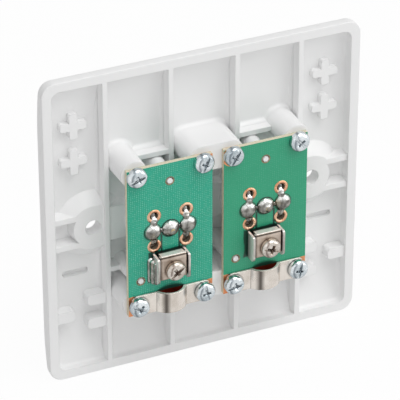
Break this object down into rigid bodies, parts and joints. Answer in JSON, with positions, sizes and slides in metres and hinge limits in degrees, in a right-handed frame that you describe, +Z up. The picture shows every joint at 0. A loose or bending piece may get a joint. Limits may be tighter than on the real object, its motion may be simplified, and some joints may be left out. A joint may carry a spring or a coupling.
{
  "type": "antenna wall socket",
  "caption": "Square moulded wall plate with twin coaxial antenna outlets, each on its own circuit board with a cable saddle and a screw terminal at the back.",
  "frame": {"origin": "midway between the two fixing holes, in the plane of the rim's back, which lies on the wall", "axes": "+Z up as fitted, -Y out of the front face into the room, +Y into the wall box, +X to the right as seen from the front"},
  "size_m": [0.086, 0.0198, 0.086],
  "materials": {
    "urea_plastic": "moulded white, satin at the back",
    "board_laminate": "green solder mask with bare copper at one end",
    "nickel_plate": "bright nickel on formed steel strip",
    "zinc_plate": "bright zinc with a blue tint",
    "insulator_plastic": "moulded, natural white",
    "contact_metal": "turned",
    "solder": "cooled tin solder"
  },
  "bodies": {
    "plate": {"front_plate": "urea_plastic", "circuit_board_left": "board_laminate", "terminal_cage_left": "nickel_plate", "outlet_shell_left": "nickel_plate", "outlet_insulator_left": "insulator_plastic", "centre_contact_left": "contact_metal", "solder_joints_left": "solder", "board_screw_left_a": "zinc_plate", "board_screw_left_b": "zinc_plate", "circuit_board_right": "board_laminate", "terminal_cage_right": "nickel_plate", "outlet_shell_right": "nickel_plate", "outlet_insulator_right": "insulator_plastic", "centre_contact_right": "contact_metal", "solder_joints_right": "solder", "board_screw_right_a": "zinc_plate", "board_screw_right_b": "zinc_plate"},
    "clamp_left": {"clamp_plate_left": "nickel_plate"},
    "terminal_screw_left": {"terminal_screw_left": "nickel_plate"},
    "saddle_left": {"cable_saddle_left": "nickel_plate"},
    "saddle_screw_left_a": {"saddle_screw_left_a": "zinc_plate"},
    "saddle_screw_left_b": {"saddle_screw_left_b": "zinc_plate"},
    "clamp_right": {"clamp_plate_right": "nickel_plate"},
    "terminal_screw_right": {"terminal_screw_right": "nickel_plate"},
    "saddle_right": {"cable_saddle_right": "nickel_plate"},
    "saddle_screw_right_a": {"saddle_screw_right_a": "zinc_plate"},
    "saddle_screw_right_b": {"saddle_screw_right_b": "zinc_plate"}
  },
  "joints": [
    {"name": "clamp_slide_left", "type": "slide", "parent": "plate", "child": "clamp_left", "axis": [0, 1, 0], "range_m": [0, 0.0016]},
    {"name": "terminal_screw_turn_left", "type": "hinge", "parent": "clamp_left", "child": "terminal_screw_left", "pos_m": [0.0134, 0.0119, -0.0095], "axis": [0, 1, 0], "range_deg": [0, 1154]},
    {"name": "saddle_slide_left", "type": "slide", "parent": "plate", "child": "saddle_left", "axis": [0, 1, 0], "range_m": [0, 0.0025]},
    {"name": "saddle_screw_turn_left_a", "type": "hinge", "parent": "saddle_left", "child": "saddle_screw_left_a", "pos_m": [0.02205, 0.00892, -0.01995], "axis": [0, 1, 0], "range_deg": [0, 752]},
    {"name": "saddle_screw_turn_left_b", "type": "hinge", "parent": "saddle_left", "child": "saddle_screw_left_b", "pos_m": [0.00405, 0.00892, -0.01995], "axis": [0, 1, 0], "range_deg": [0, 752]},
    {"name": "clamp_slide_right", "type": "slide", "parent": "plate", "child": "clamp_right", "axis": [0, 1, 0], "range_m": [0, 0.0016]},
    {"name": "terminal_screw_turn_right", "type": "hinge", "parent": "clamp_right", "child": "terminal_screw_right", "pos_m": [-0.0127, 0.0119, -0.0095], "axis": [0, 1, 0], "range_deg": [0, 1154]},
    {"name": "saddle_slide_right", "type": "slide", "parent": "plate", "child": "saddle_right", "axis": [0, 1, 0], "range_m": [0, 0.0025]},
    {"name": "saddle_screw_turn_right_a", "type": "hinge", "parent": "saddle_right", "child": "saddle_screw_right_a", "pos_m": [-0.00405, 0.00892, -0.01995], "axis": [0, 1, 0], "range_deg": [0, 752]},
    {"name": "saddle_screw_turn_right_b", "type": "hinge", "parent": "saddle_right", "child": "saddle_screw_right_b", "pos_m": [-0.02205, 0.00892, -0.01995], "axis": [0, 1, 0], "range_deg": [0, 752]}
  ],
  "couplings": [
    {"joint": "terminal_screw_turn_left", "follows": "clamp_slide_left", "rad_per_m": 12566},
    {"joint": "saddle_screw_turn_left_a", "follows": "saddle_slide_left", "rad_per_m": 5236},
    {"joint": "saddle_screw_turn_left_b", "follows": "saddle_slide_left", "rad_per_m": 5236},
    {"joint": "terminal_screw_turn_right", "follows": "clamp_slide_right", "rad_per_m": 12566},
    {"joint": "saddle_screw_turn_right_a", "follows": "saddle_slide_right", "rad_per_m": 5236},
    {"joint": "saddle_screw_turn_right_b", "follows": "saddle_slide_right", "rad_per_m": 5236}
  ]
}
